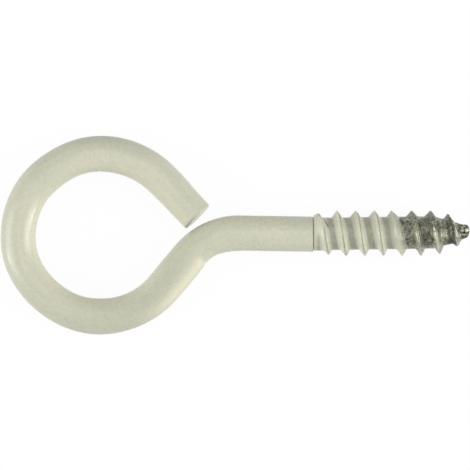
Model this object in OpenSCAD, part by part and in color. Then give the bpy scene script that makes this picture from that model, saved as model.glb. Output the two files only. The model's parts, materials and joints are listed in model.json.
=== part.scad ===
// Screw eye: one length of coated steel wire, bent into an open eye and
// rolled with a wood thread. Millimetres.
// It lies on its side as it comes to rest. X runs along the shank to the
// tip, Z is up, and the origin is on the ground under its middle.

/* [Wire] */
// Diameter of the coated wire
wire_d = 3.8; // [3.2:0.05:4.4]

/* [Eye] */
// Inner diameter of the eye
eye_inner_d = 13.6; // [12:0.1:18]
// How far the shank's axis passes from the eye's centre, towards +Y
shank_offset = 0.18; // [0:0.01:0.6]
// Slope of the straight leg between the eye and the neck
neck_leg_angle = 50.4; // [46:0.1:56]
// Slope of the straight leg at the free end
free_leg_angle = 44.8; // [40:0.1:50]
// Gap between the free end and the outside of the neck's bend
mouth_gap = 0.3; // [0.2:0.05:1.5]
// Lean of the cropped end face, which looks slightly upwards
crop_lean = 3; // [0:0.5:10]
// Width of the dulled edge round the cropped end
crop_edge = 0.2; // [0.1:0.05:0.4]

/* [Neck and shank] */
// Radius of the neck's bend, at the middle of the wire
neck_bend_r = 6.5; // [4.5:0.1:8]
// Length of the plain shank, from the neck's bend to the thread's shoulder
plain_len = 8.3; // [4:0.1:30]

/* [Thread] */
// Length of the thread, from its shoulder to the tip
thread_len = 16.65; // [12:0.05:24]
// Diameter over the thread's crests
thread_d = 4.8; // [4.5:0.05:5.2]
// Diameter at the thread's root
root_d = 3.45; // [2.6:0.05:3.5]
// Pitch, from crest to crest
thread_pitch = 2; // [1.6:0.05:2.4]
// Width of the ridge where it meets the root
ridge_w = 1.25; // [0.8:0.05:1.4]
// Distance from the shoulder to the first crest on the +Y side
first_crest = 0.5; // [0.2:0.05:1.2]
// Stretch over which the ridge grows to its full height
run_out = 2.3; // [1:0.1:3]
// Height of the step down from the plain shank to the thread's collar
shoulder_step = 0.04; // [0.02:0.01:0.1]

/* [Tip] */
// Length of the tapered tip
tip_len = 3.9; // [3:0.1:6]
// Diameter of the blunt stub at the end of the tip
stub_d = 1.55; // [1:0.05:2]
// Length of the stub
stub_len = 0.9; // [0.6:0.05:1.5]
// Length of the stub's rounded end
stub_round = 0.45; // [0.3:0.05:0.55]
// How far the thread has drifted off the shank's axis by its tip, towards +Y
tip_drift = 0.25; // [0:0.05:0.5]

/* [Hidden] */
$fn = 96;
// Sides of the thread, and rings of points in one pitch of it. They are
// equal, so that the crest runs through the corners of its faces.
thread_steps = 16;
// How far the thread's core reaches into the plain shank, which it joins
core_lap = 0.5;
// How finely a bend's turn is rounded, and how many turns are tried
millionths = 1e6;
even_tries = 40;
wire_r = wire_d / 2;
thread_r = thread_d / 2;
root_r = root_d / 2;
stub_r = stub_d / 2;
collar_r = wire_r - shoulder_step;

// The close angle whose sine and cosine are both whole millionths, as near
// as can be. It stays a true turn when it is written to six digits, so
// what follows a bend meets the end of the bend exactly.
function even_angle(angle) =
    let (
        tries = [
            for (k = [-even_tries:even_tries])
                let (
                    c = round(cos(angle) * millionths) + k,
                    s = sign(sin(angle)) * sqrt(millionths ^ 2 - c ^ 2)
                )
                [abs(s - round(s)), atan2(s, c)]
        ],
        least = min([for (t = tries) t[0]]),
        turn = [for (t = tries) if (t[0] == least) t[1]][0]
    )
    turn + 360 * round((angle - turn) / 360);

// The wire's middle line, seen from above, with the eye's centre at 0, 0
eye_r = (eye_inner_d + wire_d) / 2;
neck_slope = even_angle(neck_leg_angle);
eye_sweep = even_angle(180 + neck_leg_angle + free_leg_angle);
free_slope = eye_sweep - 180 - neck_slope;
eye_end = eye_r * [sin(neck_slope), -cos(neck_slope)];
// The neck's leg would meet the shank's axis this far past the eye
leg_to_axis = (shank_offset - eye_end.y) / sin(neck_slope);
bend_tangent = neck_bend_r * tan(neck_slope / 2);
neck_leg_len = leg_to_axis - bend_tangent;
bend_x = eye_end.x + leg_to_axis * cos(neck_slope) + bend_tangent;
bend_centre = [bend_x, shank_offset - neck_bend_r];
shoulder_x = bend_x + plain_len;
tip_x = shoulder_x + thread_len;

// The free leg is as long as the gap at the eye's mouth leaves it: its
// inner corner stops at mouth_reach from the centre of the neck's bend
free_dir = [cos(free_slope), -sin(free_slope)];
free_side = [sin(free_slope), cos(free_slope)];
leg_corner = (eye_r - wire_r) * free_side - bend_centre;
mouth_reach = neck_bend_r + wire_r + mouth_gap;
free_leg_len = -leg_corner * free_dir - sqrt(mouth_reach ^ 2 - (leg_corner * free_side) ^ 2);

// Places along the thread are counted from its shoulder
taper_start = thread_len - tip_len;
stub_start = thread_len - stub_len;
round_start = thread_len - stub_round;

// The eye's far side and the lowest point of the first full crest are what
// it rests on, so the whole piece leans a little
rest_crest = first_crest + 0.75 * thread_pitch;
rest_crest_r = core_r(rest_crest) + ridge_share(rest_crest) * ridge_h(0);
rest_lean = asin((rest_crest_r - wire_r) / (shoulder_x + rest_crest + eye_r));
rest_z = eye_r * sin(rest_lean) + wire_r;
middle_x = ((tip_x - eye_r) * cos(rest_lean) - wire_r) / 2;

// How far x has come from one place to another, 0 to 1, with soft ends
function ease(x, from, to) =
    let (t = min(1, max(0, (x - from) / (to - from))))
    t * t * (3 - 2 * t);

// Radius of the core, which steps down from the collar and tapers to the tip
function core_r(x) =
    let (
        collar = (collar_r - root_r) * (1 - ease(x, 0, thread_pitch)),
        taper = (root_r - stub_r) * ease(x, taper_start, stub_start),
        over = max(0, x - round_start) / stub_round
    )
    (root_r + collar - taper) * sqrt(max(0, 1 - over ^ 2));

// Share of its full height that the ridge has
function ridge_share(x) =
    sin(90 * min(1, max(0, x / run_out))) * (1 - ease(x, stub_start - stub_len / 2, round_start));

// Height of the full ridge at a distance along the axis from its crest
function ridge_h(u) = (thread_r - root_r) * max(0, 1 - 2 * abs(u) / ridge_w);

// Distance from the nearest crest, at an angle turned from +Y towards +Z
function from_crest(x, angle) =
    let (turns = (x - first_crest) / thread_pitch - angle / 360)
    (turns - round(turns)) * thread_pitch;

function thread_point(x, angle) =
    let (
        r = core_r(x) + ridge_share(x) * ridge_h(from_crest(x, angle)),
        offset = tip_drift * x / thread_len
    )
    [x, offset + r * cos(angle), r * sin(angle)];

// A straight stretch of wire along X, with what follows it at its end
module straight(len) {
    rotate([0, 90, 0])
        cylinder(d = wire_d, h = len);
    translate([len, 0, 0])
        children();
}

// All that lies ahead of a plane across the wire at a bend, or behind it
module half_space(r, ahead) {
    size = 2 * (r + wire_d);
    translate([ahead ? 0 : -size, -size / 2, -size / 2])
        cube(size);
}

// A bend to the left, or to the right where the angle is below 0, with what
// follows it at its end. It is a full ring, cut through its centre.
module bend(r, angle) {
    side = sign(angle);
    translate([0, side * r, 0]) {
        difference() {
            rotate_extrude()
                translate([r, 0])
                    circle(d = wire_d);
            if (abs(angle) < 180) {
                half_space(r, false);
                rotate([0, 0, angle])
                    half_space(r, true);
            } else {
                intersection() {
                    half_space(r, false);
                    rotate([0, 0, angle])
                        half_space(r, true);
                }
            }
        }
        rotate([0, 0, angle])
            translate([0, -side * r, 0])
                children();
    }
}

// The straight leg at the free end, cropped across, with a dulled edge
module free_leg(len) {
    reach = len + wire_r * tan(crop_lean);
    difference() {
        rotate([0, 90, 0])
            cylinder(d = wire_d, h = reach);
        translate([len, 0, 0])
            rotate([0, 90 - crop_lean, 0]) {
                translate([-wire_d, -wire_d, 0])
                    cube(2 * wire_d);
                difference() {
                    translate([0, 0, -1.5 * crop_edge])
                        cylinder(d = 2 * wire_d, h = 2 * crop_edge);
                    translate([0, 0, -2 * crop_edge])
                        cylinder(
                            r1 = wire_r + crop_edge,
                            r2 = wire_r - 2 * crop_edge,
                            h = 3 * crop_edge
                        );
                }
            }
    }
}

// The wire from the thread's shoulder back to its free end
module wire() {
    translate([shoulder_x, shank_offset, 0])
        rotate([0, 0, 180])
            straight(plain_len)
                bend(neck_bend_r, neck_slope)
                    straight(neck_leg_len)
                        bend(eye_r, -eye_sweep)
                            free_leg(free_leg_len);
}

// The thread's core and ridge, as rings of points along the axis
module thread() {
    ring_gap = thread_pitch / thread_steps;
    first_ring = ceil(0.25 - first_crest / ring_gap);
    last_ring = floor((thread_len - first_crest) / ring_gap - 0.25);
    rings = [0, for (k = [first_ring:last_ring]) first_crest + k * ring_gap];
    angles = [for (i = [0:thread_steps - 1]) 360 * i / thread_steps];
    points = [
        for (a = angles) [-core_lap, collar_r * cos(a), collar_r * sin(a)],
        for (x = rings, a = angles) thread_point(x, a),
        thread_point(thread_len, 0)
    ];
    end = len(rings);
    function corner(ring, i) = ring * thread_steps + i % thread_steps;
    faces = [
        [for (i = [0:thread_steps - 1]) i],
        for (ring = [0:end - 1], i = [0:thread_steps - 1])
            each [
                [corner(ring, i), corner(ring + 1, i + 1), corner(ring, i + 1)],
                [corner(ring, i), corner(ring + 1, i), corner(ring + 1, i + 1)]
            ],
        for (i = [0:thread_steps - 1])
            [corner(end, i), len(points) - 1, corner(end, i + 1)]
    ];
    translate([shoulder_x, shank_offset, 0])
        polyhedron(points = points, faces = faces, convexity = 8);
}

module screw_eye() {
    color([0.80, 0.80, 0.72])
        translate([-middle_x, 0, rest_z])
            rotate([0, -rest_lean, 0]) {
                wire();
                thread();
            }
}

screw_eye();
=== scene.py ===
import json
import math

import bpy
import numpy as np
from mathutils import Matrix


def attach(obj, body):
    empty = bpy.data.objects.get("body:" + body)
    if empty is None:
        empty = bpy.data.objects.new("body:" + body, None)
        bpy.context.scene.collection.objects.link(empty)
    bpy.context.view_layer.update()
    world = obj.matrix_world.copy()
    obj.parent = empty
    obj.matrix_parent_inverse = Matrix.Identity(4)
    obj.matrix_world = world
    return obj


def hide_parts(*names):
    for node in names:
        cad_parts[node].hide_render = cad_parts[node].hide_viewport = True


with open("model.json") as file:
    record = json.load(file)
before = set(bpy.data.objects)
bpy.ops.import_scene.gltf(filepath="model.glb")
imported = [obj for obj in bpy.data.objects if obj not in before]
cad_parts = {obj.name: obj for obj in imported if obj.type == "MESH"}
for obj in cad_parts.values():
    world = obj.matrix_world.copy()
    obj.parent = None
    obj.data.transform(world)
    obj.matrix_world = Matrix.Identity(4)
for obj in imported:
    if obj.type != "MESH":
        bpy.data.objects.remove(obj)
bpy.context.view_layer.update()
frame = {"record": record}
print("frame loaded")

# Lengths here are in millimetres, in the wire's own plane: x along the shank,
# the eye's centre at 0, 0. The record's two mounts carry them to the frame.
# Angles round the wire are in radians. 0 faces the eye's middle or, on the
# shank, the side that the eye's mouth is on, and a quarter turn is the top.
mm = 0.001
mounts = {m["name"]: m for m in frame["record"]["mounts"]}
eyeCentre = np.array(mounts["eye"]["pos_m"])
shankWay = np.array(mounts["wood_thread"]["axis"])
eyeWay = np.array(mounts["eye"]["axis"])
crossWay = np.cross(eyeWay, shankWay)


def smooth(x, low, high):
    # 0 below low, 1 above high, with soft ends between
    t = np.clip((x - low) / (high - low), 0, 1)
    return t * t * (3 - 2 * t)


def hump(x, middle, width):
    # a bell of height 1 about the middle
    return np.exp(-(((x - middle) / width) ** 2))


def side(angle, middle, full, gone):
    # 1 within "full" of the middle direction, 0 past "gone"
    away = np.abs(np.angle(np.exp(1j * (angle - middle))))
    return 1 - smooth(away, full, gone)


def backSide(angle, low, high):
    # grows from 0 to 1 towards the back, the side opposite angle 0; low and
    # high are cosines, counted from there
    return smooth(-np.cos(angle), low, high)


def irregular(x, places):
    # the sum of a few bells, each with its place, reach and amount
    return sum(amount * hump(x, middle, reach) for middle, reach, amount in places)


def spots(x, angle, places):
    # the sum of a few round marks: place, reach, angle, spread, amount
    return sum(
        amount * hump(x, middle, reach) * hump(angle, facing, spread)
        for middle, reach, facing, spread, amount in places
    )


# whole numbers that stir a lattice corner into a value that looks random
cornerFactors = (73856093, 19349663, 83492791)
seedFactor = 2654435
stirFactor = 1274126177


def unevenness(points, size, seed):
    # smooth noise from -1 to 1: random values on a lattice of that size,
    # blended between the eight corners of each cell
    place = points / size
    cell = np.floor(place).astype(np.int64)
    part = place - cell
    part = part * part * (3 - 2 * part)
    total = np.zeros(len(points))
    for corner in range(8):
        step = np.array([corner & 1, corner >> 1 & 1, corner >> 2])
        key = ((cell + step) * cornerFactors).sum(axis=1) + seed * seedFactor
        key = (key ^ key >> 13) * stirFactor & 0x7FFFFFFF
        value = (key ^ key >> 16) % 65536 / 32768 - 1
        total += value * np.where(step, part, 1 - part).prod(axis=1)
    return total


wire = {
    "radius": 1.895,         # over the coat
    "shankThinner": 0.015,   # what the shank lost when the thread was rolled
    "thinFrom": 12.0,        # where that loss starts and is full, back from the shoulder
    "thinFull": 6.3,
    "eyeRadius": 8.7,        # to the middle of the wire
    "shankOffset": 0.18,
    "neckSlope": 50.4,
    "freeSlope": 44.8,
    "neckBend": 6.5,
    "plainLength": 8.3,
    "columns": 88,           # points round the wire
    "ringGap": 0.3,
    "wave": 0.012,           # the coat's slow unevenness
    "waveSize": 2.6,
}

freeEnd = {
    "length": 6.05,
    "lean": 3.5,             # degrees that the cropped face looks upwards
    "leanReach": 1.2,
    "rim": 0.14,             # radius of its edge
    "rimRows": 6,
    "dome": 0.05,
    "faceRows": 12,
}

neckDent = {
    "back": 11.9,            # how far back from the shoulder the flat lies
    "width": 1.6,
    "depth": 0.16,
    "creaseBack": 13.3,
    "creaseWidth": 0.4,
    "crease": 0.07,
    "edge": (0.1, 0.9),      # how it fades round the wire, as cosines from the back
}

# Where the bent wire strays from its drawn line, and where it is stouter or
# slimmer: distance back from the shoulder, reach, amount
strays = [
    (0.0, 4.0, -0.085),
    (7.4, 1.2, 0.03),
    (11.5, 2.0, -0.05),
    (14.5, 3.6, -0.10),
    (19.5, 3.4, -0.07),
    (31.5, 2.4, 0.05),
    (37.5, 2.4, -0.09),
    (48.2, 3.0, 0.14),
    (61.2, 3.2, -0.20),
]
girths = [
    (2.0, 3.0, 0.012),
    (8.6, 1.2, 0.03),
    (16.0, 2.6, 0.06),
    (26.3, 1.8, 0.04),
    (46.8, 1.8, 0.03),
    (55.5, 3.4, 0.045),
    (66.3, 3.6, -0.11),
]

# The wire's middle line, walked back from the thread's shoulder: straight
# shank, neck bend, neck leg, eye, free leg. Each stretch has its length and
# its curvature, positive to the left.
neck = math.radians(wire["neckSlope"])
sweep = math.pi + neck + math.radians(wire["freeSlope"])
toAxis = (wire["shankOffset"] + wire["eyeRadius"] * math.cos(neck)) / math.sin(neck)
tangent = wire["neckBend"] * math.tan(neck / 2)
bendX = wire["eyeRadius"] * math.sin(neck) + toAxis * math.cos(neck) + tangent
shoulderX = bendX + wire["plainLength"]
stretches = [
    (wire["plainLength"], 0),
    (wire["neckBend"] * neck, 1 / wire["neckBend"]),
    (toAxis - tangent, 0),
    (wire["eyeRadius"] * sweep, -1 / wire["eyeRadius"]),
    (freeEnd["length"], 0),
]
wireLength = sum(length for length, bend in stretches)


def runOn(x, y, heading, bend, run):
    # Place and heading after a run. A straight one adds its direction times
    # the distance, a bent one the chord of its arc.
    if not bend:
        return x + math.cos(heading) * run, y + math.sin(heading) * run, heading
    turned = heading + bend * run
    newX = x + (np.sin(turned) - math.sin(heading)) / bend
    newY = y - (np.cos(turned) - math.cos(heading)) / bend
    return newX, newY, turned


def middleLine(along):
    # Place and heading of the middle line. Along is 0 at the shoulder and
    # grows towards the tip.
    back = -along
    x = np.full_like(along, shoulderX) + np.maximum(along, 0)
    y = np.full_like(along, wire["shankOffset"])
    heading = np.full_like(along, math.pi)
    startX, startY, startHeading, start = shoulderX, wire["shankOffset"], math.pi, 0.0
    for length, bend in stretches:
        inside = back > start
        run = np.where(inside, back - start, 0)
        if bend:
            run = np.minimum(run, length)
        newX, newY, turned = runOn(startX, startY, startHeading, bend, run)
        x = np.where(inside, newX, x)
        y = np.where(inside, newY, y)
        heading = np.where(inside, turned, heading)
        startX, startY, startHeading = runOn(startX, startY, startHeading, bend, length)
        start += length
    return x, y, heading + math.pi


def wireRadius(back, angle):
    # the plain wire, thinner near the thread, dented inside the neck bend
    w, n = wire, neckDent
    thinner = w["shankThinner"] * smooth(-back, -w["thinFrom"], -w["thinFull"])
    dent = n["depth"] * hump(back, n["back"], n["width"])
    dent = dent + n["crease"] * hump(back, n["creaseBack"], n["creaseWidth"])
    return w["radius"] - thinner + irregular(back, girths) - backSide(angle, *n["edge"]) * dent


# Distances are along the thread from its shoulder. A pair is where something
# begins and where it is full or gone, but an edge is two cosines from the back.
thread = {
    "length": 16.65,
    "pitch": 2.0,
    "fineFrom": 0.5,         # the close rings begin this far before the shoulder
    "lastGap": 0.25,         # and end this share of a gap short of the tip
    "collar": 1.77,          # radius by the shoulder, and how it falls to the root's
    "collarFalls": (0.2, 2.0),
    "root": 1.735,
    "drift": 0.25,           # how far the core has left the shank's axis by the tip
    "firstCrest": 0.5,
    "crest": 2.43,
    "crestAside": 0.09,      # the crests stand off that axis by this much all along
    "wander": [(1.4, 0.7, 0.13), (8.4, 0.5, -0.18), (14.5, 0.5, -0.12)],
    "lastLift": [(14.3, 0.5, 0.14)],
    "leftFlank": 0.67,
    "firstLeft": 0.30,       # how much wider that flank is at the shoulder
    "firstLeftEnds": (0.2, 1.1),
    "rightFlank": 0.58,
    "firstRight": -0.28,     # how much narrower this one starts, by the crest's own place
    "firstRightEnds": (0.6, 1.1),
    "hollow": 1.22,          # over 1, the flanks run hollow into the root
    "tipRound": 0.06,
    "backEdge": (0.2, 1.0),  # on the back side a ridge is narrower, rounder and hollower
    "backNarrower": 0.12,
    "backRounder": 1.6,
    "backHollower": 0.45,
    "startShare": 0.58,      # the ridge's height at the shoulder, and where it is full
    "runOut": 2.6,
    "ridgeStart": (0, 0.42),     # by the crest's own place too
    "fadeFrom": 14.9,        # the ridge dies away from here to just before the tip's end
    "fadeShort": 0.45,
    "taper": 3.9,
    "stub": 0.80,
    "stubLength": 0.75,
    "stubRound": 0.34,
    "stubSlant": 0.60,       # how much more it is rounded on the back side
    "swells": [(14.6, 0.6, 0.12)],   # the taper is fuller on the back side, here
    "scuff": 0.016,
    "scuffSize": 0.35,
    "pits": 0.022,
    "pitSizes": (0.22, 0.11),
    "finePits": 0.6,         # how deep the finer pits are beside the others
    "pitsBegin": (-0.2, 0.4),    # past the coat's end
}

# the fold that rolling leaves along the crest
fold = {
    "depth": 0.11,
    "width": 0.05,
    "aside": 0.09,           # how far it lies to the right of the crest
    "begins": (0.9, 1.1),
    "markWidth": 0.085,      # the darkening in it
    "markEnds": (7.6, 9.0),
    "markFainter": 0.2,      # what it loses on top, with the angle and the spread
    "fainterFacing": (1.35, 0.5),
    "firstDepth": 0.10,      # its first half turn, which runs off the crest
    "firstWidth": 0.06,
    "firstAside": 0.15,
    "firstMiddle": 0.75,
    "firstSlope": 2,
    "firstBegins": (0.55, 0.7),
    "firstEnds": (0.95, 1.02),
    "firstMark": 1.4,
}

shoulder = {
    "groove": 0.10,          # depth of the line where the rolling stopped
    "grooveWidth": 0.05,
    "lip": 0.05,
    "lipAt": -0.12,          # before the shoulder
    "lipWidth": 0.18,
    "lipEdge": (0.2, 1.0),
}


def coreRadius(x, angle):
    # collar, then root, then the taper to the stub and its rounded end
    t = thread
    rounding = t["stubRound"] + t["stubSlant"] * backSide(angle, 0, 1)
    taperStart = t["length"] - t["taper"]
    stubStart = t["length"] - t["stubLength"]
    collar = (t["collar"] - t["root"]) * (1 - smooth(x, *t["collarFalls"]))
    taper = (t["root"] - t["stub"]) * np.clip((x - taperStart) / (stubStart - taperStart), 0, 1)
    over = np.clip((x - t["length"] + rounding) / rounding, 0, 1)
    return (t["root"] + collar - taper) * np.sqrt(1 - over**2)


def ridgeShare(x, crestPlace):
    # the ridge grows over the run-out and dies away before the stub's end
    t = thread
    grown = t["startShare"] + (1 - t["startShare"]) * smooth(x, t["firstCrest"], t["runOut"])
    grown = grown * smooth(crestPlace, *t["ridgeStart"])
    gone = smooth(x, t["fadeFrom"], t["length"] - t["fadeShort"])
    return grown * (1 - gone)


def fromCrest(x, angle):
    # distance along the axis from the nearest crest, to the right of it above 0
    x = x - irregular(x, thread["wander"])
    turns = (x - thread["firstCrest"]) / thread["pitch"] - angle / math.tau
    return (turns - np.round(turns)) * thread["pitch"]


def coreAside(x):
    # the core leaves the shank's axis in a straight line
    return thread["drift"] * x / thread["length"]


def firstFold(x, angle):
    # on the first half turn the fold runs off the crest and down the flank
    f = fold
    u = fromCrest(x, angle)
    crestPlace = x - u
    line = hump(u, f["firstAside"] + f["firstSlope"] * (crestPlace - f["firstMiddle"]), f["firstWidth"])
    return line * smooth(crestPlace, *f["firstBegins"]) * (1 - smooth(crestPlace, *f["firstEnds"]))


def ridgeHeight(x, angle):
    # a hollow-flanked triangle with a rounded tip and a fold along it
    t = thread
    u = fromCrest(x, angle)
    crestPlace = x - u
    back = backSide(angle, *t["backEdge"])
    lift = (t["crestAside"] - coreAside(x)) * np.cos(angle) + irregular(x, t["lastLift"])
    left = t["leftFlank"] + t["firstLeft"] * (1 - smooth(x, *t["firstLeftEnds"]))
    right = t["rightFlank"] + t["firstRight"] * (1 - smooth(crestPlace, *t["firstRightEnds"]))
    flank = np.where(u < 0, left, right - t["backNarrower"] * back)
    tip = t["tipRound"] * (1 + t["backRounder"] * back)
    far = (np.sqrt(u**2 + tip**2) - tip) / (flank - tip)
    shape = np.clip(1 - far, 0, 1) ** (t["hollow"] + t["backHollower"] * back)
    height = (t["crest"] - t["root"] + lift) * shape
    groove = fold["depth"] * hump(u, fold["aside"], fold["width"]) * smooth(crestPlace, *fold["begins"])
    return height - groove - fold["firstDepth"] * firstFold(x, angle)


# Marks on the thread, painted light and shade among them, by the distance from its shoulder.
# A facing is an angle and a spread, or an angle, how far round from it the mark
# is full and where it has gone. What lies aside is to the right of the crest above 0.
marks = {
    "coatStops": 9.1,        # where the coat stops at angle 0, and how much further at the back
    "coatSlant": 0.85,
    "crestsBegin": (10.4, 12.5),     # crests worn bright, with a painted highlight on their lower side
    "crestsAside": (0.03, 0.04),
    "crestsShare": 0.45,
    "crestsFrom": 1.5,       # angles where the wear begins, further round by the last ridge
    "crestsLater": 0.4,
    "crestsSoft": 0.25,
    "crestsEnd": (2.7, 3.1),
    "lastRidge": (13.8, 14.5),
    "streakAside": (0.26, 0.07),     # painted highlight on the last ridge's right flank
    "streakBegins": (14.5, 14.9),
    "streakFaint": 0.3,
    "streakFaintFrom": (0.6, 1.0),
    "streakFullFrom": (1.15, 1.4),
    "streakEnd": (1.95, 2.2),
    "besideStreak": [(-0.02, 0.18, 1), (0.5, 0.12, 1)],     # painted shade lines on both sides of it
    "besideBegins": (14.4, 14.7),
    "besideFacing": (1.4, 0.6),
    "flankAside": -0.1,      # painted light on the ridges' lower flanks
    "flankShifts": 0.22,
    "flankShiftsOver": (1.3, 2.4),
    "flankWidth": 0.36,
    "flankFacing": (2.5, 0.8, 1.35),
    "flankEnds": (13.0, 13.8),
    "flankShare": 0.56,
    "litPatch": [(13.9, 0.5, 1.9, 0.7, 0.7)],
    "underTip": (14.75, 0.6),        # painted shade
    "underFacing": (2.9, 0.5, 1.2),
    "underStub": (15.5, 16.0),
    "stubFacing": (3.0, 0.7, 1.1),
    "collar": (0.55, 0.22),
    "collarFacing": (2.7, 0.8, 1.4),
    "darkSpots": [
        (11.95, 0.45, 1.65, 0.8, 0.6),      # painted shade in the last full root
        (9.75, 0.4, 1.6, 0.8, 0.3),         # and the one before it
        (8.86, 0.08, 1.0, 0.07, 1.0),       # a pit in the coat
    ],
    "ridgeSides": (9.6, 10.4),       # painted shade on the steel ridges' left sides, by the top edge
    "ridgeSideFacing": (-0.2, 0.8, 1.4),
    "ridgeSideAside": (-0.1, 0.4),
    "ridgeSideShare": 0.45,
    "edge": (0.17, 0.1),             # painted light: the collar's edge
    "edgeFacing": (2.7, 1.0, 1.3),
    "footAt": 0.62,                  # and a slanting painted highlight at the first ridge's foot
    "footSlant": 0.25,
    "footMiddle": 1.45,              # the angle where it is at that place
    "footWidth": 0.09,
    "footFacing": (1.5, 0.3),
}


def coatEnd(x, angle):
    # distance past the line where the coat stops, which slants away from angle 0
    # to the back, over the top and underneath alike
    return x - marks["coatStops"] - marks["coatSlant"] * (1 - np.cos(angle)) / 2


def foldMark(x, angle):
    # where the fold is darker; the darkening ends before the coat stops
    f = fold
    u = fromCrest(x, angle)
    along = smooth(x - u, *f["begins"]) * (1 - smooth(x, *f["markEnds"]))
    along = along * (1 - f["markFainter"] * hump(angle, *f["fainterFacing"]))
    return np.maximum(hump(u, f["aside"], f["markWidth"]) * along, f["firstMark"] * firstFold(x, angle))


def wearAndHighlight(x, angle):
    # crests worn bright near the tip, with a painted highlight on their lower side, and a painted
    # highlight on the last ridge's right flank
    m = marks
    u = fromCrest(x, angle)
    begin = m["crestsFrom"] + m["crestsLater"] * smooth(x, *m["lastRidge"])
    facing = smooth(angle, begin, begin + m["crestsSoft"]) * (1 - smooth(angle, *m["crestsEnd"]))
    crests = hump(u, *m["crestsAside"]) * smooth(x, *m["crestsBegin"]) * facing
    faint = m["streakFaint"] * smooth(angle, *m["streakFaintFrom"])
    full = (1 - m["streakFaint"]) * smooth(angle, *m["streakFullFrom"])
    streak = hump(u, *m["streakAside"]) * smooth(x, *m["streakBegins"])
    streak = streak * (faint + full) * (1 - smooth(angle, *m["streakEnd"]))
    return np.maximum(m["crestsShare"] * crests, streak)


def litFlank(x, angle):
    # painted light: the ridges' lower flanks and one patch by the tip are brighter steel
    m = marks
    middle = m["flankAside"] + m["flankShifts"] * smooth(angle, *m["flankShiftsOver"])
    flank = hump(fromCrest(x, angle), middle, m["flankWidth"])
    flank = flank * side(angle, *m["flankFacing"]) * (1 - smooth(x, *m["flankEnds"]))
    return np.maximum(m["flankShare"] * flank, spots(x, angle, m["litPatch"]))


def shade(x, angle):
    # painted shade: under the tip and its stub, beside the bright streak, on the
    # collar, on the steel ridges' left sides, in two roots, and a pit in the coat
    m = marks
    u = fromCrest(x, angle)
    under = hump(x, *m["underTip"]) * side(angle, *m["underFacing"])
    stub = smooth(x, *m["underStub"]) * side(angle, *m["stubFacing"])
    beside = irregular(u, m["besideStreak"]) * smooth(x, *m["besideBegins"])
    beside = beside * hump(angle, *m["besideFacing"])
    collar = hump(x, *m["collar"]) * side(angle, *m["collarFacing"])
    ridges = hump(u, *m["ridgeSideAside"]) * smooth(x, *m["ridgeSides"])
    ridges = m["ridgeSideShare"] * ridges * side(angle, *m["ridgeSideFacing"])
    return np.clip(under + stub + beside + collar + ridges + spots(x, angle, m["darkSpots"]), 0, 1)


def pale(x, angle):
    # painted light: the collar's edge beside the shoulder, and a painted highlight streak at the first
    # ridge's foot
    m = marks
    edge = hump(x, *m["edge"]) * side(angle, *m["edgeFacing"])
    foot = hump(x, m["footAt"] + m["footSlant"] * (angle - m["footMiddle"]), m["footWidth"])
    return np.maximum(edge, foot * hump(angle, *m["footFacing"]))


def surface(along, angle, shrink):
    # The whole skin. A ring of points stands across the middle line at each
    # distance along it, its radius given by the wire's or the thread's form.
    t, s, f = thread, shoulder, freeEnd
    rolled = along > 0
    onThread = np.maximum(along, 0)
    back = np.maximum(-along, 0)
    ridge = ridgeShare(onThread, onThread - fromCrest(onThread, angle)) * ridgeHeight(onThread, angle)
    swell = irregular(onThread, t["swells"]) * backSide(angle, 0, 1)
    lip = s["lip"] * hump(along, s["lipAt"], s["lipWidth"]) * backSide(angle, *s["lipEdge"])
    threaded = coreRadius(onThread, angle) + ridge + swell
    radius = np.where(rolled, threaded, wireRadius(back, angle) + lip)
    radius = radius - s["groove"] * hump(along, 0, s["grooveWidth"])
    x, y, heading = middleLine(along)
    aside = irregular(back, strays) + coreAside(onThread)
    sideX, sideY = -np.sin(heading), np.cos(heading)

    def skin(r):
        out = r * np.cos(angle) + aside
        return np.stack([x + sideX * out, y + sideY * out, r * np.sin(angle)], axis=1)

    # the coat's slow waves, then scuffs on the thread and pits in its steel;
    # the last number of each is its seed
    plain = skin(radius)
    wave = wire["wave"] * (unevenness(plain, wire["waveSize"], 1) - 1)
    scuff = t["scuff"] * unevenness(plain, t["scuffSize"], 2) * smooth(onThread, 0, 1)
    coarse, fine = t["pitSizes"]
    pits = unevenness(plain, coarse, 3) + t["finePits"] * (unevenness(plain, fine, 4) - 1)
    pits = t["pits"] * pits * smooth(coatEnd(onThread, angle), *t["pitsBegin"])
    radius = (radius + np.where(rolled, scuff + pits, wave)) * shrink
    points = skin(np.maximum(radius, 0))

    # the cropped face leans, so the wire's last rings are pushed along it
    ahead = -along - (wireLength - f["leanReach"])
    push = math.tan(math.radians(f["lean"])) * points[:, 2] * smooth(ahead, 0, f["leanReach"])
    points[:, 0] += push * np.cos(heading)
    points[:, 1] += push * np.sin(heading)
    return points


def ringRows():
    # Each ring's place along the wire and its share of the full radius: the
    # cropped face is a shallow dome and its rim a quarter round, and on the
    # thread rings fall on the crest, so the ridge keeps a clean edge
    w, f, t = wire, freeEnd, thread
    gap = t["pitch"] / w["columns"]
    firstRow = math.ceil((-t["fineFrom"] - t["firstCrest"]) / gap)
    lastRow = math.floor((t["length"] - t["firstCrest"]) / gap - t["lastGap"])
    threadRows = t["firstCrest"] + np.arange(firstRow, lastRow + 1) * gap
    sideStart = -wireLength + f["rim"]
    count = int((threadRows[0] - sideStart) / w["ringGap"])
    wireRows = np.linspace(sideStart, threadRows[0], count, endpoint=False)
    q = np.linspace(0, 1, f["faceRows"] + 1)[1:]
    inner = 1 - f["rim"] / w["radius"]
    faceRows = -wireLength - f["dome"] * (1 - q**2)
    turn = np.linspace(0, math.pi / 2, f["rimRows"] + 1)[1:-1]
    rimRows = -wireLength + f["rim"] * (1 - np.cos(turn))
    rimShrink = inner + (1 - inner) * np.sin(turn)
    rows = np.concatenate([faceRows, rimRows, wireRows, threadRows])
    full = np.ones(len(wireRows) + len(threadRows))
    return rows, np.concatenate([inner * q, rimShrink, full])


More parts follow.
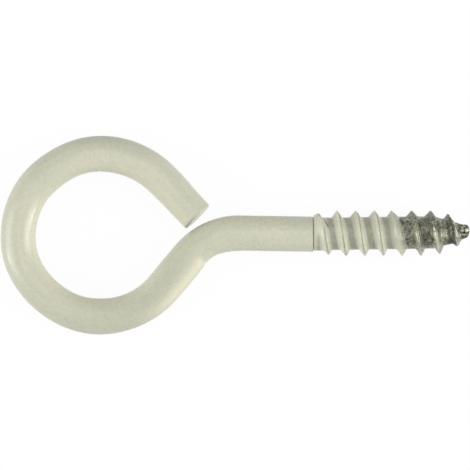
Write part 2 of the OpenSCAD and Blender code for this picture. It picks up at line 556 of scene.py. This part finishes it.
def skinFaces(rowCount):
    # two triangles a cell, cut along the ridge's own slope, and a fan at each pole
    columns = wire["columns"]
    i, k = np.meshgrid(np.arange(columns), np.arange(rowCount - 1))
    i, k = i.ravel(), k.ravel()
    here, beside = k * columns + i, k * columns + (i + 1) % columns
    ahead, across = here + columns, beside + columns
    startPole, endPole = rowCount * columns, rowCount * columns + 1
    a = np.arange(columns)
    b = (a + 1) % columns
    last = (rowCount - 1) * columns
    return np.concatenate([
        np.stack([here, across, beside], axis=1),
        np.stack([here, ahead, across], axis=1),
        np.stack([np.full(columns, startPole), a, b], axis=1),
        np.stack([np.full(columns, endPole), last + b, last + a], axis=1),
    ])


# Painted light and shade on the plain wire, and a darker stretch, by the
# distance back from the shoulder, and what the finish does at its two ends
wireTones = {
    "bandBegins": (12.9, 13.6),      # painted light: a pale band along the neck leg, on top towards the back
    "bandEnds": (18, 23),
    "bandFacing": (2.45, 0.42),
    # the coat darker on top, round the neck leg
    "darkerOnTop": [(21, 8, 1.55, 0.65, 1)],
    "insideFrom": (14, 20),          # where painted light inside the eye and painted shade outside it begin
    "croppedFace": 0.7,              # how pale the painted light makes the cropped face, and how far it reaches back
    "faceReach": 0.01,
    "palePlaces": 0.7,               # how pale the painted light makes the thread's places
    "threadCoat": 0.3,               # how much paler the coat is on the thread
    "threadCoatFrom": (0.05, 0.3),
    "beforeCoatEnd": 5,              # the plain wire counts as this far before the coat's end
    "crestFrom": (0.3, 0.9),         # the coat between the ridges thins from here on
    # painted shade lines: in the groove at the shoulder, and round the cropped face's rim
    "shoulderLine": (-0.01, 0.055),
    "shoulderFaint": 0.55,           # the line's share on the side of angle 0
    "shoulderEdge": (-0.6, 0.2),
    "cropLine": (0.06, 0.07),
    "cropFaint": 0.2,                # the line's share on the back side
    "cropEdge": (-0.5, 0.8),
}


def keepMarks(mesh, along, angle):
    # what the finish has to know of each point, as attributes of the mesh
    s = wireTones
    rolled = along > 0
    onThread = np.maximum(along, 0)
    # painted light: a band along the neck leg, and the cropped face
    band = smooth(-along, *s["bandBegins"]) * (1 - smooth(-along, *s["bandEnds"]))
    band = band * hump(angle, *s["bandFacing"])
    face = s["croppedFace"] * (along < -wireLength + s["faceReach"])
    shoulderRound = s["shoulderFaint"] + (1 - s["shoulderFaint"]) * backSide(angle, *s["shoulderEdge"])
    cropRound = s["cropFaint"] + (1 - s["cropFaint"]) * smooth(np.cos(angle), *s["cropEdge"])
    cropMiddle, cropWidth = s["cropLine"]
    keep = {
        "pastCoat": np.where(rolled, coatEnd(onThread, angle), -s["beforeCoatEnd"]),
        "fromCrest": np.abs(fromCrest(onThread, angle)) * smooth(onThread, *s["crestFrom"]),
        "fold": foldMark(onThread, angle),
        "threadCoat": s["threadCoat"] * smooth(along, *s["threadCoatFrom"]),
        "wearAndHighlight": wearAndHighlight(onThread, angle),
        "litFlank": litFlank(onThread, angle),
        "shade": shade(onThread, angle) * rolled,
        "darkerOnTop": spots(-along, angle, s["darkerOnTop"]),
        "inside": np.cos(angle) * smooth(-along, *s["insideFrom"]),
        "pale": np.where(rolled, s["palePlaces"] * pale(onThread, angle), band + face),
        "shoulderLine": hump(along, *s["shoulderLine"]) * shoulderRound,
        "cropLine": hump(along, -wireLength + cropMiddle, cropWidth) * cropRound,
    }
    for name, values in keep.items():
        mesh.attributes.new(name, "FLOAT", "POINT").data.foreach_set("value", values)
    # a coordinate that runs along the wire, for marks that follow it
    r = wire["radius"]
    drawn = np.stack([along, r * np.cos(angle), r * np.sin(angle)], axis=1)
    mesh.attributes.new("drawn", "FLOAT_VECTOR", "POINT").data.foreach_set("vector", drawn.ravel())


def buildScrewEye():
    # the rings, a pole at each end, and the turn into the frame; what would lie
    # below the floor is pressed flat on it
    columns = wire["columns"]
    rows, shrinks = ringRows()
    angles = np.arange(columns) * math.tau / columns
    along = np.append(np.repeat(rows, columns), [-wireLength - freeEnd["dome"], thread["length"]])
    angle = np.append(np.tile(angles, len(rows)), [0, 0])
    shrink = np.append(np.repeat(shrinks, columns), [0, 0])
    basis = np.stack([shankWay, crossWay, eyeWay])
    points = eyeCentre + (surface(along, angle, shrink) * mm) @ basis
    points[:, 2] = np.maximum(points[:, 2], 0)
    faces = skinFaces(len(rows))
    mesh = bpy.data.meshes.new("screw_eye_skin")
    mesh.vertices.add(len(points))
    mesh.vertices.foreach_set("co", points.ravel())
    mesh.loops.add(faces.size)
    mesh.loops.foreach_set("vertex_index", faces.ravel())
    mesh.polygons.add(len(faces))
    mesh.polygons.foreach_set("loop_start", np.arange(0, faces.size, 3))
    mesh.update(calc_edges=True)
    mesh.validate()
    mesh.shade_smooth()
    keepMarks(mesh, along, angle)
    piece = bpy.data.objects.new("screw_eye_skin", mesh)
    bpy.context.scene.collection.objects.link(piece)
    return piece


class Nodes:
    # short calls for a material's nodes
    def __init__(self, owner):
        owner.use_nodes = True
        self.tree = owner.node_tree
        self.tree.nodes.clear()

    def add(self, kind, **values):
        node = self.tree.nodes.new(kind)
        for name, value in values.items():
            setattr(node, name, value)
        return node

    def join(self, source, target):
        self.tree.links.new(source, target)

    def attribute(self, name):
        return self.add("ShaderNodeAttribute", attribute_name=name).outputs["Fac"]

    def math(self, operation, *values):
        node = self.add("ShaderNodeMath", operation=operation)
        for socket, value in zip(node.inputs, values):
            if isinstance(value, (int, float)):
                socket.default_value = value
            else:
                self.join(value, socket)
        return node.outputs[0]

    def times(self, first, second):
        return self.math("MULTIPLY", first, second)

    def ramp(self, value, low, high, fromValue=0.0, toValue=1.0):
        node = self.add("ShaderNodeMapRange", interpolation_type="SMOOTHSTEP")
        self.join(value, node.inputs["Value"])
        node.inputs["From Min"].default_value = low
        node.inputs["From Max"].default_value = high
        node.inputs["To Min"].default_value = fromValue
        node.inputs["To Max"].default_value = toValue
        return node.outputs["Result"]

    def noise(self, place, scale, detail, rough):
        node = self.add("ShaderNodeTexNoise")
        self.join(place, node.inputs["Vector"])
        node.inputs["Scale"].default_value = scale
        node.inputs["Detail"].default_value = detail
        node.inputs["Roughness"].default_value = rough
        return node.outputs["Fac"]

    def mix(self, share, first, second):
        # two colours, each a socket or three numbers
        node = self.add("ShaderNodeMix", data_type="RGBA")
        self.join(share, node.inputs["Factor"])
        sockets = [s for s in node.inputs if s.type == "RGBA"]
        for socket, value in zip(sockets, (first, second)):
            if isinstance(value, tuple):
                socket.default_value = (*value, 1)
            else:
                self.join(value, socket)
        return [s for s in node.outputs if s.type == "RGBA"][0]

    def between(self, share, first, second):
        # two plain values
        node = self.add("ShaderNodeMix", data_type="FLOAT")
        self.join(share, node.inputs["Factor"])
        self.join(first, node.inputs["A"])
        self.join(second, node.inputs["B"])
        return node.outputs["Result"]


finish = {
    "coat": (0.590, 0.590, 0.462),
    "coatGreen": (0.560, 0.578, 0.445),
    "coatWarm": (0.650, 0.628, 0.485),
    "coatPale": (0.740, 0.715, 0.540),
    "coatThread": (0.690, 0.686, 0.540),
    "coatThinAndShade": (0.375, 0.378, 0.303),
    "line": (0.16, 0.15, 0.10),
    "steelBlack": (0.03, 0.03, 0.022),
    "steelDark": (0.095, 0.100, 0.070),
    "steelMid": (0.36, 0.37, 0.285),
    "steelBright": (0.72, 0.69, 0.54),
    "steelWornAndHighlight": (0.88, 0.87, 0.78),
    "warm": 0.55,            # shares of these tints where they are strongest
    "paleInside": 0.35,
    "shadeOutside": 0.12,
    "darkerOnTop": 0.4,
    "pale": 0.8,
    "lines": 0.85,
    "shadedCoat": 0.8,
    "darkening": 0.5,
    "streakStretch": (0.16, 1, 1),   # what draws the streaks out along the wire
    "coatWander": 1.2,       # how far the coat's end wanders, in millimetres
    "coatRough": (0.24, 0.34),
    "steelRough": (0.5, 0.3),
    "bump": 0.35,
    "bumpDepth": 0.00003,    # in metres
}

# noises that the finish is made of: how many to a metre, detail, roughness
patterns = {
    "stain": (300, 4, 0.6),
    "streak": (0.9, 3, 0.55),        # this one to a millimetre
    "grain": (2400, 3, 0.7),
    "patches": (2600, 4, 0.6),
    "mottle": (3400, 5, 0.65),
    "darkening": (650, 3, 0.5),
    "clean": (1100, 2, 0.5),
    "specks": (4600, 3, 0.6),
    "blots": (2900, 2, 0.5),
    "polish": (1300, 2, 0.5),
    "coatEdge": (1500, 4, 0.6),
    "flecks": (5200, 3, 0.6),
    "swells": (900, 2, 0.5),
}


def coatColour(n, place, patches):
    # cream with faint green stains and warm streaks, grey where it is thin between
    # the ridges, painted light inside the eye and on its pale places, painted shade
    # outside the eye and in the shaded places, darker on top by the neck, and dark in
    # its lines, the shoulder's and the rim's being painted shade
    f = finish
    drawn = n.add("ShaderNodeMapping")
    drawn.inputs["Scale"].default_value = f["streakStretch"]
    wireLine = n.add("ShaderNodeAttribute", attribute_name="drawn").outputs["Vector"]
    n.join(wireLine, drawn.inputs["Vector"])
    stain = n.ramp(n.noise(place, *patterns["stain"]), 0.35, 0.65)
    streak = n.ramp(n.noise(drawn.outputs["Vector"], *patterns["streak"]), 0.38, 0.66)
    grain = n.ramp(n.noise(place, *patterns["grain"]), 0.35, 0.65, 0.05, 0.21)
    inside = n.attribute("inside")
    outside = n.times(inside, -1)
    coat = n.mix(stain, f["coat"], f["coatGreen"])
    coat = n.mix(n.times(streak, f["warm"]), coat, f["coatWarm"])
    coat = n.mix(grain, coat, f["coatThinAndShade"])
    # painted light inside the eye, painted shade outside it
    coat = n.mix(n.times(n.ramp(inside, 0, 1), f["paleInside"]), coat, f["coatPale"])
    coat = n.mix(n.ramp(outside, 0, 1, 0, f["shadeOutside"]), coat, f["coatThinAndShade"])
    # darker on top, round the neck leg
    coat = n.mix(n.times(n.attribute("darkerOnTop"), f["darkerOnTop"]), coat, f["coatThinAndShade"])
    coat = n.mix(n.attribute("threadCoat"), coat, f["coatThread"])
    # painted light on the pale places
    coat = n.mix(n.times(n.attribute("pale"), f["pale"]), coat, f["coatPale"])
    root = n.ramp(n.attribute("fromCrest"), 0.58, 0.76)
    coat = n.mix(n.times(root, n.ramp(patches, 0.32, 0.6, 0.55, 1)), coat, f["coatThinAndShade"])
    # the fold is darker
    darkening = n.times(n.attribute("fold"), n.ramp(patches, 0.3, 0.6, 0.5, 0.85))
    # painted shade in the shoulder's groove and round the cropped face's rim
    lines = n.math("MAXIMUM", n.attribute("shoulderLine"), n.attribute("cropLine"))
    lines = n.math("MAXIMUM", n.times(lines, f["lines"]), darkening)
    coat = n.mix(lines, coat, f["line"])
    # painted shade on the coat
    coat = n.mix(n.times(n.attribute("shade"), f["shadedCoat"]), coat, f["coatThinAndShade"])
    worn = n.times(n.ramp(n.attribute("pastCoat"), -2.2, -0.25), n.ramp(patches, 0.3, 0.6, 0.35, 0.65))
    return n.mix(worn, coat, f["coatThinAndShade"])


def steelColour(n, place, mottle):
    # mottled grey steel with dirt, painted light on the lower flanks and bright
    # specks, coarser blots on the stub, black painted shade in the shaded places,
    # and crests worn bright with a painted highlight
    f = finish
    past = n.attribute("pastCoat")
    nearTip = n.ramp(past, 4.5, 6.5)
    onStub = n.ramp(past, 5.9, 6.4)
    light = n.math("SUBTRACT", mottle, n.times(nearTip, 0.04))
    darkening = n.ramp(n.noise(place, *patterns["darkening"]), 0.42, 0.58)
    clean = n.ramp(n.noise(place, *patterns["clean"]), 0.5, 0.62, 0, 0.2)
    # painted light on the lower flanks
    flank = n.times(n.attribute("litFlank"), n.ramp(mottle, 0.35, 0.6, 0.3, 0.65))
    specks = n.math("ADD", n.noise(place, *patterns["specks"]), n.times(nearTip, 0.05))
    blots = n.noise(place, *patterns["blots"])
    # painted shade: black in the shaded places
    black = n.times(n.attribute("shade"), n.ramp(mottle, 0.4, 0.62, 0.95, 0.7))
    polish = n.ramp(n.noise(place, *patterns["polish"]), 0.35, 0.55, 0.45, 1)
    steel = n.mix(n.ramp(light, 0.38, 0.59), f["steelDark"], f["steelMid"])
    steel = n.mix(n.times(darkening, f["darkening"]), steel, f["steelDark"])
    steel = n.mix(clean, steel, f["steelBright"])
    steel = n.mix(flank, steel, f["steelBright"])
    steel = n.mix(n.ramp(specks, 0.585, 0.67), steel, f["steelBright"])
    steel = n.mix(n.times(onStub, n.ramp(blots, 0.5, 0.56, 0.92, 0)), steel, f["steelBlack"])
    steel = n.mix(n.times(onStub, n.ramp(blots, 0.58, 0.64, 0, 0.7)), steel, f["steelBright"])
    steel = n.mix(black, steel, f["steelBlack"])
    # worn crests and the painted highlight
    return n.mix(n.times(n.attribute("wearAndHighlight"), polish), steel, f["steelWornAndHighlight"])


def bareShare(n, place):
    # the coat ends in a wavy line, with bare specks in its last half millimetre
    edge = n.math("SUBTRACT", n.noise(place, *patterns["coatEdge"]), 0.5)
    past = n.math("ADD", n.attribute("pastCoat"), n.times(edge, finish["coatWander"]))
    flecks = n.ramp(n.noise(place, *patterns["flecks"]), 0.5, 0.6)
    flecks = n.times(flecks, n.ramp(past, -0.75, -0.1, 0, 0.65))
    return n.math("MAXIMUM", n.ramp(past, -0.06, 0.1), flecks)


def coatedSteel():
    # Cream coat that thins to grey between the ridges and stops on the thread,
    # with bare mottled steel past that line
    f = finish
    material = bpy.data.materials.new("coated_wire")
    n = Nodes(material)
    place = n.add("ShaderNodeTexCoord").outputs["Object"]
    patches = n.noise(place, *patterns["patches"])
    mottle = n.noise(place, *patterns["mottle"])
    bare = bareShare(n, place)
    # painted shade also turns down the metal and the gloss
    unshaded = n.math("SUBTRACT", 1, n.attribute("shade"))
    coatRough = n.ramp(patches, 0.3, 0.7, *f["coatRough"])
    steelRough = n.ramp(mottle, 0.3, 0.7, *f["steelRough"])
    shader = n.add("ShaderNodeBsdfPrincipled")
    colour = n.mix(bare, coatColour(n, place, patches), steelColour(n, place, mottle))
    n.join(colour, shader.inputs["Base Color"])
    n.join(n.times(bare, n.math("MULTIPLY_ADD", unshaded, 0.6, 0.15)), shader.inputs["Metallic"])
    n.join(n.math("MULTIPLY_ADD", unshaded, 0.45, 0.05), shader.inputs["Specular IOR Level"])
    n.join(n.between(bare, coatRough, steelRough), shader.inputs["Roughness"])
    bump = n.add("ShaderNodeBump")
    bump.inputs["Strength"].default_value = f["bump"]
    bump.inputs["Distance"].default_value = f["bumpDepth"]
    n.join(n.between(bare, n.noise(place, *patterns["swells"]), mottle), bump.inputs["Height"])
    n.join(bump.outputs["Normal"], shader.inputs["Normal"])
    out = n.add("ShaderNodeOutputMaterial")
    n.join(shader.outputs["BSDF"], out.inputs["Surface"])
    return material


screwEye = buildScrewEye()
screwEye.data.materials.append(coatedSteel())
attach(screwEye, "root")
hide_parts("screw_eye")
print("screw eye built,", len(screwEye.data.polygons), "triangles")

studio = {
    "floorSize": 3.0,        # in metres, as all of this
    "floorColour": (0.45, 0.45, 0.44),
    "glow": 0.95,            # share of plain white in what the camera sees of the floor
    "sky": 0.56,
    "lampDistance": 0.40,
}

# degrees round from the shank's own direction, degrees above the floor, size,
# power; the two glints are small and low, for the gloss on the eye
lamps = {
    "left_box": (187, 22, (0.26, 0.30), 0.86),
    "right_box": (-6, 26, (0.24, 0.30), 0.97),
    "top_box": (90, 77, (0.20, 0.20), 0.135),
    "left_glint": (193, 10, (0.05, 0.05), 0.11),
    "right_glint": (-19, 10, (0.05, 0.05), 0.21),
}

# straight above, with a long lens and the shank to the right
camera = {
    "height": 0.55,
    "level": 0.002,          # height at which the picture is as wide as the field
    "field": 0.0502,
    "sensor": 36,            # in millimetres, as the lens
}


def floorMaterial():
    # pale floor that looks plain white and still takes a soft shadow
    material = bpy.data.materials.new("pale_floor")
    n = Nodes(material)
    path = n.add("ShaderNodeLightPath")
    seen = n.math("MAXIMUM", path.outputs["Is Camera Ray"], path.outputs["Is Glossy Ray"])
    seen = n.math("MAXIMUM", seen, path.outputs["Is Transmission Ray"])
    diffuse = n.add("ShaderNodeBsdfDiffuse")
    n.join(n.mix(seen, studio["floorColour"], (1, 1, 1)), diffuse.inputs["Color"])
    white = n.add("ShaderNodeEmission")
    white.inputs["Strength"].default_value = 1.0
    blend = n.add("ShaderNodeMixShader")
    n.join(n.times(seen, studio["glow"]), blend.inputs["Fac"])
    n.join(diffuse.outputs[0], blend.inputs[1])
    n.join(white.outputs[0], blend.inputs[2])
    out = n.add("ShaderNodeOutputMaterial")
    n.join(blend.outputs[0], out.inputs["Surface"])
    return material


def layFloor():
    half = studio["floorSize"] / 2
    mesh = bpy.data.meshes.new("floor")
    corners = [(-half, -half, 0), (half, -half, 0), (half, half, 0), (-half, half, 0)]
    mesh.from_pydata(corners, [], [(0, 1, 2, 3)])
    mesh.materials.append(floorMaterial())
    floor = bpy.data.objects.new("floor", mesh)
    bpy.context.scene.collection.objects.link(floor)


def lightSky():
    # plain white to the camera, and a softer white as light
    world = bpy.data.worlds.new("studio")
    bpy.context.scene.world = world
    n = Nodes(world)
    path = n.add("ShaderNodeLightPath")
    soft = n.add("ShaderNodeBackground")
    soft.inputs["Color"].default_value = (1, 1, 1, 1)
    soft.inputs["Strength"].default_value = studio["sky"]
    white = n.add("ShaderNodeBackground")
    white.inputs["Color"].default_value = (1, 1, 1, 1)
    blend = n.add("ShaderNodeMixShader")
    n.join(path.outputs["Is Camera Ray"], blend.inputs["Fac"])
    n.join(soft.outputs[0], blend.inputs[1])
    n.join(white.outputs[0], blend.inputs[2])
    out = n.add("ShaderNodeOutputWorld")
    n.join(blend.outputs[0], out.inputs["Surface"])


def hangLamp(name, azimuth, elevation, size, power):
    # a rectangle of light that faces the middle of the floor
    lamp = bpy.data.lights.new(name, "AREA")
    lamp.shape = "RECTANGLE"
    lamp.size, lamp.size_y = size
    lamp.energy = power
    holder = bpy.data.objects.new(name, lamp)
    a, e = math.radians(azimuth), math.radians(elevation)
    way = np.array([math.cos(a) * math.cos(e), math.sin(a) * math.cos(e), math.sin(e)])
    holder.location = way * studio["lampDistance"]
    holder.rotation_euler = (math.pi / 2 - e, 0, a + math.pi / 2)
    bpy.context.scene.collection.objects.link(holder)


def placeCamera():
    cam = bpy.data.cameras.new("camera")
    cam.sensor_width = camera["sensor"]
    cam.lens = camera["sensor"] * (camera["height"] - camera["level"]) / camera["field"]
    holder = bpy.data.objects.new("camera", cam)
    holder.location = (0, 0, camera["height"])
    bpy.context.scene.collection.objects.link(holder)
    bpy.context.scene.camera = holder


layFloor()
lightSky()
for name, values in lamps.items():
    hangLamp(name, *values)
placeCamera()
bpy.context.scene.view_settings.view_transform = "Standard"
print("studio lit")

bpy.context.view_layer.update()
